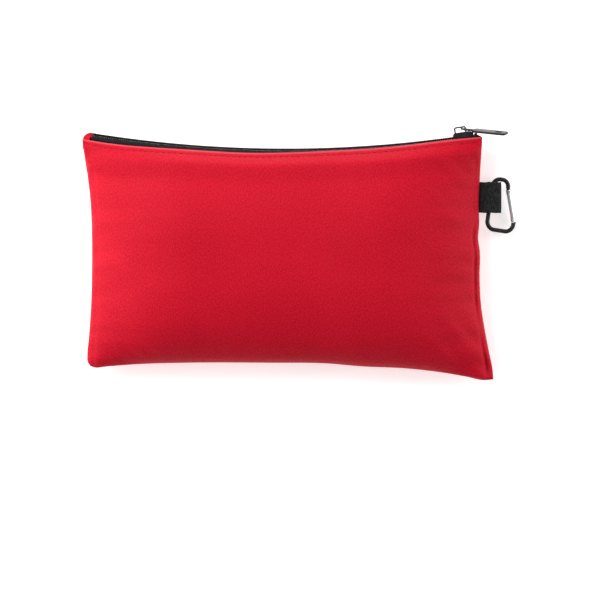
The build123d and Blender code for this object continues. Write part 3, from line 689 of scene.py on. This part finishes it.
top_row = row_under_edge(STITCH_DEPTH)
sewn = slice(6, -4)  # the columns that are sewn
top_line, top_normals = front_points[top_row, sewn], front_normals[top_row, sewn]
top_stitch = stitches("top_stitch", top_line, top_normals, STITCH_LONG, STITCH_GAP, THREAD, red_thread)
open_with_mouth(top_stitch, "top_stitch", "red_cloth")
for front_half in open_with_mouth(front, "front_cloth", "red_cloth", "front_panel"):
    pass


# ---- zip ----
TAPE = 0.4  # thickness
TAPE_STEP = 1.0


def zip_strip(name, profile, x_from, x_to, material):
    """A sheet that follows the zip. Its profile is a list of places (out from the coil, above the rim)."""
    count = int((x_to - x_from) / TAPE_STEP) + 1
    verts = []
    for x in np.linspace(x_from, x_to, count):
        for out, height in profile:
            verts.append((*zip_point(x, out), RIM + height))
    piece = make_object(name, verts, grid_faces(count, len(profile)))
    thicken(piece, TAPE)
    dress(piece, material)
    return piece


# Up from under the teeth, then back under the folded edge.
TAPE_PROFILE = [(-2.05, 0.8), (-2.05, 1.6), (-2.05, 2.8), (-2.05, 4.2), (-2.3, 4.8), (-3.2, 5.0), (-5.2, 5.0)]
tape_front = zip_strip("tape_front", TAPE_PROFILE, ZIP_FROM, ZIP_TO, black_tape)
open_with_mouth(tape_front, "tape_front", "zip_tape", "zip_tape_front", "zip_tape_ends")
BACK_PROFILE = [(out, -height) for out, height in TAPE_PROFILE]
tape_back = zip_strip("tape_back", BACK_PROFILE, ZIP_FROM, ZIP_TO, black_tape)
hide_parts("zip_tape_back")
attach(tape_back, "root")

TOOTH_PITCH = 1.27
TOOTH_WIRE = 0.28  # radius
COIL_TO = ZIP_TO - 1.4


def coil(name, way, x_from, x_to):
    """Half of a coil zip: one bent loop of nylon for each tooth, its head past the middle of the zip."""
    path = [(-1.55, 2.5), (-1.6, 1.2), (-1.5, 0.1), (-1.0, -0.35), (-0.5, 0.1), (-0.45, 1.2), (-0.5, 2.5)]
    head = [1.0, 1.0, 1.2, 1.4, 1.2, 1.0, 1.0]
    sides = 6
    verts, faces = [], []
    offset = 0.0 if way > 0 else TOOTH_PITCH / 2
    for x in np.arange(x_from + offset, x_to, TOOTH_PITCH):
        base = len(verts)
        for k, (out, height) in enumerate(path):
            before, after = path[max(k - 1, 0)], path[min(k + 1, len(path) - 1)]
            run = Vector((after[0] - before[0], after[1] - before[1])).normalized()
            wire = TOOTH_WIRE * head[k]
            for n in range(sides):
                angle = 2 * math.pi * n / sides
                along = wire * math.cos(angle)
                away = wire * math.sin(angle)
                px, py = zip_point(x + along, out - run.y * away)
                verts.append((px, py, RIM + way * (height + run.x * away)))
        faces += tube_faces(len(path), sides, base)
    piece = make_object(name, verts, faces)
    face_outwards(piece)
    dress(piece, black_coil)
    return piece


coil_front = coil("coil_front", 1, ZIP_FROM, COIL_TO)
open_with_mouth(coil_front, "coil_front", "zip_coil", "zip_coil_front", "zip_coil_ends")
coil_back = coil("coil_back", -1, ZIP_FROM, COIL_TO)
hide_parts("zip_coil_back")
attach(coil_back, "root")


def end_fold(name, outline, half_height, material):
    """A small fold of cloth over the end of the zip: a soft closed form with that outline in plan."""
    outline = curve_through(outline + outline[:1])(np.linspace(0, 1, 41)[:-1])
    centre = outline.mean(axis=0)
    verts = []
    rings = 13
    for k in range(rings):
        angle = math.pi * k / (rings - 1)
        height = -half_height * math.copysign(abs(math.cos(angle)) ** 0.6, math.cos(angle))
        inset = 1 - 0.12 * (1 - math.sin(angle) ** 0.7) if 0 < k < rings - 1 else 0.84
        for place in outline:
            x, y = centre + (place - centre) * inset
            verts.append((x, y, RIM + height))
    piece = make_object(name, verts, tube_faces(rings, len(outline)))
    face_outwards(piece)
    dress(piece, material)
    return piece


left_tab = end_fold(
    "left_end_tab",
    [
        (-121.7, 70.0), (-121.3, 73.0), (-119.7, 74.7), (-116.4, 75.4), (-115.9, 74.8), (-115.9, 72.0),
        (-116.4, 70.2),
    ],
    5.0,
    red_cloth_plain,
)
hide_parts("zip_end_tab_left")
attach(left_tab, "root")
right_tab = end_fold(
    "right_tape_end",
    [
        (112.6, 72.0), (112.4, 74.2), (113.2, 74.9), (114.6, 74.4), (117.2, 72.6), (116.8, 71.6),
        (114.4, 71.4),
    ],
    4.4,
    black_tape,
)
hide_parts("zip_end_tab_right")
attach(right_tab, "root")


# ---- hardware: the CAD shapes with their edges rounded ----
WELD = 0.000002  # metres between points that are one corner
ROUND_STEPS = 3
ROUND_FROM = math.radians(40)  # edges sharper than this are rounded
SHARP_FROM = math.radians(35)  # edges sharper than this stay sharp in the shading


def softened(node, body, material, width):
    """A copy of a CAD node with small rounds on its edges, which stands for it."""
    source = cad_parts[node]
    piece = bpy.data.objects.new(node + "_finish", source.data.copy())
    bpy.context.scene.collection.objects.link(piece)
    work = bmesh.new()
    work.from_mesh(piece.data)
    bmesh.ops.remove_doubles(work, verts=work.verts, dist=WELD)
    bmesh.ops.dissolve_limit(work, angle_limit=math.radians(1), verts=work.verts, edges=work.edges)
    work.to_mesh(piece.data)
    work.free()
    round_edges = piece.modifiers.new("rounds", "BEVEL")
    round_edges.width = width * MM
    round_edges.segments = ROUND_STEPS
    round_edges.limit_method = "ANGLE"
    round_edges.angle_limit = ROUND_FROM
    round_edges.use_clamp_overlap = True
    round_edges.harden_normals = False
    apply_modifiers(piece)
    piece.data.polygons.foreach_set("use_smooth", [True] * len(piece.data.polygons))
    piece.data.set_sharp_from_angle(angle=SHARP_FROM)
    dress(piece, material)
    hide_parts(node)
    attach(piece, body)


softened("slider_body", "slider", black_paint, 0.3)
softened("slider_bridge", "slider", black_paint, 0.2)
softened("pull_tab", "pull", black_paint, 0.22)
softened("zip_stop", "root", black_paint, 0.2)

for node, material in (
    ("carabiner_body", black_anodised),
    ("carabiner_gate", gate_metal),
    ("gate_hinge_pin", black_anodised),
    ("gate_latch_pin", gate_metal),
    ("gate_spring", tool_steel),
    ("seam_binding_left", binding_cloth),
    ("seam_binding_right", binding_cloth),
    ("tape_roll", gauze_cloth),
    ("tape_core", card),
    ("gauze_roll", gauze_cloth),
    ("ointment_tube", white_laminate),
    ("ointment_cap", blue_plastic),
    ("tweezers", tool_steel),
    ("safety_pins", tool_steel),
    ("scissors_blade_a", tool_steel),
    ("scissors_blade_b", tool_steel),
    ("scissors_rivet", tool_steel),
    ("scissors_handle_a", handle_plastic),
    ("scissors_handle_b", handle_plastic),
    ("first_aid_leaflet", green_paper),
):
    dress(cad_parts[node], material)


# ---- webbing loop ----
LOOP_LOW, LOOP_HIGH = 27.7, 46.3
LOOP_MIDDLE = 0.5 * (LOOP_LOW + LOOP_HIGH)
LOOP_HALF = 0.5 * (LOOP_HIGH - LOOP_LOW) - 0.2
LOOP_LONG = 44.0
LOOP_THICK = 0.9
RIB = 1.05  # pitch of the ribs
RIB_POINTS = 6
RIB_HIGH = 0.26
RIB_OUT = 0.12  # how far each rib's end stands out of the selvedge


def webbing():
    """A ribbed band sewn in the seam, out round an eye and back, with a slightly wavy selvedge."""
    route = curve_through(
        [
            (112.6, 11.0), (116.0, 11.2), (119.0, 12.2), (122.4, 12.6), (126.6, 12.2), (129.1, 9.6),
            (128.9, 6.4), (126.0, 4.4), (122.0, 4.6), (118.6, 7.6), (116.0, 9.7), (112.6, 9.8),
        ]
    )
    count = int(LOOP_LONG / RIB * RIB_POINTS)
    shares = np.linspace(0, 1, count)
    line = route(shares)
    tangent = np.gradient(line, axis=0)
    tangent /= np.linalg.norm(tangent, axis=1)[:, None]
    normal = np.stack([-tangent[:, 1], tangent[:, 0]], axis=-1)
    across = np.linspace(-1, 1, 21)
    verts = []
    for k, share in enumerate(shares):
        rib = abs(math.sin(math.pi * share * LOOP_LONG / RIB))
        wave = 0.08 * math.sin(share * 31.0) + 0.06 * math.sin(share * 57.0 + 1.0)
        for side in across:
            lift = RIB_HIGH * rib * (1 - 0.5 * side**8)
            x = line[k, 0] + normal[k, 0] * lift
            z = line[k, 1] + normal[k, 1] * lift
            selvedge = RIB_OUT * rib if abs(side) == 1 else 0.0
            y = LOOP_MIDDLE + side * (LOOP_HALF + selvedge) + wave
            verts.append((x, y, z))
    piece = make_object("webbing", verts, [f[::-1] for f in grid_faces(count, len(across))])
    thicken(piece, LOOP_THICK)
    dress(piece, black_webbing)
    return piece


loop = webbing()
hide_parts("webbing_loop")
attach(loop, "root")


# ---- soft packs inside ----
PACK_POINTS = 61
FILM = 0.12  # half of the least thickness of a pack


def pillow_pack(name, low, high, material, crimp, seed):
    """A wrapped pack: two sheets sealed in a flat crimped rim, full in the middle."""
    nx, ny = PACK_POINTS, PACK_POINTS
    u, v = np.meshgrid(np.linspace(0, 1, nx), np.linspace(0, 1, ny))
    x = low[0] + (high[0] - low[0]) * u
    y = low[1] + (high[1] - low[1]) * v
    from_side = np.minimum(u, 1 - u) * (high[0] - low[0])
    from_end = np.minimum(v, 1 - v) * (high[1] - low[1])
    edge = np.minimum(from_side, from_end)
    half = 0.5 * (high[2] - low[2])
    middle = 0.5 * (high[2] + low[2])
    full = smoothstep(crimp, crimp + 2.2 * half + 3.0, edge) ** 0.6
    dents = 0.18 * half * wobble(x, y, 9.0, 2.0 + seed) + 0.1 * half * wobble(x, y, 4.0, 7.0 + seed)
    rise = np.maximum(full * (0.82 * half + dents), FILM)
    in_rim = 1 - smoothstep(crimp - 0.5, crimp + 1.0, edge)
    ripple = 0.12 * np.sin((x + y) * 2.4) * in_rim * min(half, 1.0)
    top = np.stack([x, y, middle + ripple + rise], axis=-1).reshape(-1, 3)
    base = np.stack([x, y, middle + ripple - rise], axis=-1).reshape(-1, 3)
    faces = grid_faces(ny, nx)
    shift = nx * ny
    faces += [tuple(shift + index for index in face[::-1]) for face in faces]
    ring = list(range(nx)) + [i * nx + nx - 1 for i in range(1, ny)]
    ring += [(ny - 1) * nx + j for j in range(nx - 2, -1, -1)] + [i * nx for i in range(ny - 2, 0, -1)]
    for k, start in enumerate(ring):
        end = ring[(k + 1) % len(ring)]
        faces.append((start, shift + start, shift + end, end))
    piece = make_object(name, np.concatenate([top, base]), faces)
    dress(piece, material)
    return piece


def node_box(node):
    """A node's corners in millimetres."""
    low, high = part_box(node)
    return [c / MM for c in low], [c / MM for c in high]


def wrap_node(node, material, crimp, seed):
    """Stand a wrapped pack in for a node."""
    low, high = node_box(node)
    piece = pillow_pack(node + "_wrap", low, high, material, crimp, seed)
    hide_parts(node)
    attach(piece, "root")


STACK_INSET = 1.2  # of each sachet from the stack's box, which leaves room to lie unevenly
STACK_GAP = 0.05  # half of the gap between two sachets


def wrap_stack(node, count, material, crimp, seed):
    """Stand a stack of flat sachets in for a node."""
    low, high = node_box(node)
    each = (high[2] - low[2]) / count
    for k in range(count):
        shift = 1.0 * math.sin(3.1 * k + seed)
        side, end = STACK_INSET + shift, STACK_INSET - shift * 0.7
        near = (low[0] + side, low[1] + end, low[2] + k * each + STACK_GAP)
        side, end = STACK_INSET - shift, STACK_INSET + shift * 0.7
        far = (high[0] - side, high[1] - end, low[2] + (k + 1) * each - STACK_GAP)
        piece = pillow_pack(f"{node}_{k}", near, far, material, crimp, seed + k)
        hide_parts(node)
        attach(piece, "root")


wrap_node("rescue_blanket", foil, 4.0, 1.0)
wrap_node("triangular_bandage", clear_wrap, 5.0, 4.0)
wrap_node("gloves_pack", blue_wrap, 4.0, 8.0)
wrap_stack("gauze_sachets", 3, sachet_paper, 5.0, 11.0)
wrap_stack("antiseptic_wipes", 3, green_paper, 3.0, 17.0)

PLASTER_COUNT = 3
PLASTER_PITCH = 22.0
PLASTER_MARGIN = 0.3


def plasters():
    """Wrapped plasters side by side, each full in the middle."""
    low, high = node_box("adhesive_bandages")
    wide = (high[1] - low[1] - (PLASTER_COUNT - 1) * PLASTER_PITCH) - 2 * PLASTER_MARGIN
    for k in range(PLASTER_COUNT):
        y = low[1] + PLASTER_MARGIN + PLASTER_PITCH * k
        near, far = (low[0], y, low[2]), (high[0], y + wide, high[2])
        piece = pillow_pack(f"plaster_{k}", near, far, plaster_cloth, 2.0, 20.0 + k)
        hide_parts("adhesive_bandages")
        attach(piece, "root")


plasters()

# ---- floor and light ----
floor_material, _, _, floor_shader = new_material("floor", (0.95, 0.95, 0.95), 0.9)
floor_shader.inputs["Specular IOR Level"].default_value = 0.0
floor_shader.inputs["Emission Color"].default_value = (1.0, 1.0, 1.0, 1.0)
floor_shader.inputs["Emission Strength"].default_value = 0.5
FLOOR = 3000.0  # half width
floor_corners = [(-FLOOR, -FLOOR, 0), (FLOOR, -FLOOR, 0), (FLOOR, FLOOR, 0), (-FLOOR, FLOOR, 0)]
floor = make_object("floor", floor_corners, [(0, 1, 2, 3)])
dress(floor, floor_material)


def area_light(name, place, size, power, aim=(0, 0, 0)):
    """A square soft light at a place in metres, aimed at the middle of the pouch or where aim says."""
    data = bpy.data.lights.new(name, "AREA")
    data.shape = "SQUARE"
    data.size = size
    data.energy = power
    light = bpy.data.objects.new(name, data)
    light.location = place
    light.rotation_euler = (Vector(aim) - Vector(place)).to_track_quat("-Z", "Y").to_euler()
    bpy.context.scene.collection.objects.link(light)


area_light("key", (-0.40, 0.44, 0.5), 0.45, 5.7, (-0.04, 0.02, 0))
area_light("left", (-0.8, 0.05, 0.25), 0.5, 3.6)
area_light("right", (0.8, 0.1, 0.25), 0.5, 3.4)

WORLD_LIGHT = 0.36
world = bpy.data.worlds.new("studio")
world.use_nodes = True
world.node_tree.nodes["Background"].inputs["Color"].default_value = (1.0, 1.0, 1.0, 1.0)
world.node_tree.nodes["Background"].inputs["Strength"].default_value = WORLD_LIGHT
bpy.context.scene.world = world
